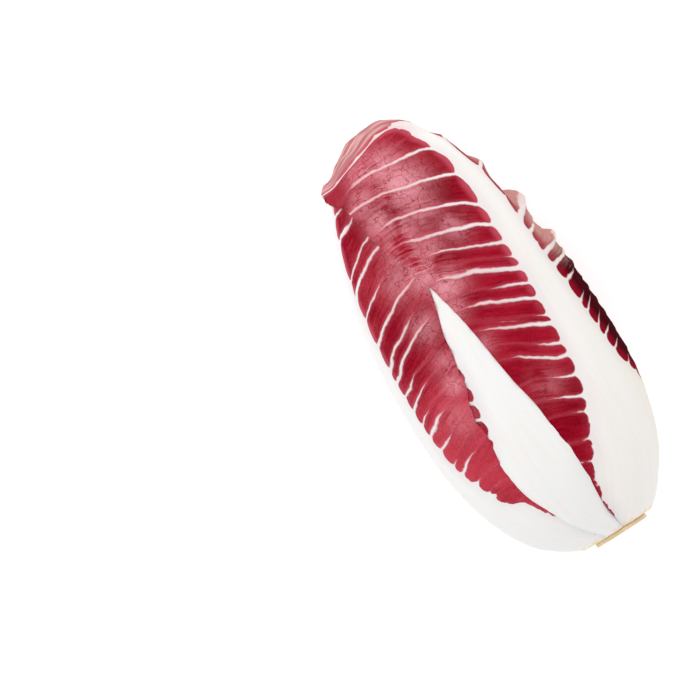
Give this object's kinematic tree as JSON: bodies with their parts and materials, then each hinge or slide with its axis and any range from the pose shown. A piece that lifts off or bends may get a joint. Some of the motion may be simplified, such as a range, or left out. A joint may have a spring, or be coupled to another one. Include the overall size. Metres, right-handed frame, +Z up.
{
  "type": "red chicory head",
  "caption": "Long head of red chicory lying on its side: overlapping crimson leaves with broad white ribs round a leafy heart, cut at the stem.",
  "frame": {"origin": "middle of the footprint, on the surface that the head lies on", "axes": "+X towards the cut stem, -X towards the tip, +Z up, +Y the right-hand side of the head in the picture"},
  "size_m": [0.2026, 0.0976, 0.0872],
  "materials": {
    "outer_leaf": "satin, crimson blade with white ribs and veins",
    "side_leaf": "satin, white rib with crimson blade",
    "inner_leaf": "satin, pale crimson blade with white rib",
    "heart": "satin, cream and pink bud",
    "stem": "matt, dried tan cut"
  },
  "bodies": {
    "root": {"stem": "stem", "heart": "heart", "inner_leaf_1": "inner_leaf", "inner_leaf_2": "inner_leaf", "inner_leaf_3": "inner_leaf", "inner_leaf_4": "inner_leaf", "inner_leaf_5": "inner_leaf", "side_leaf_front": "side_leaf", "side_leaf_left": "side_leaf", "side_leaf_right": "side_leaf", "outer_leaf_right": "outer_leaf", "outer_leaf_left": "outer_leaf", "outer_leaf_under": "outer_leaf"}
  },
  "joints": []
}
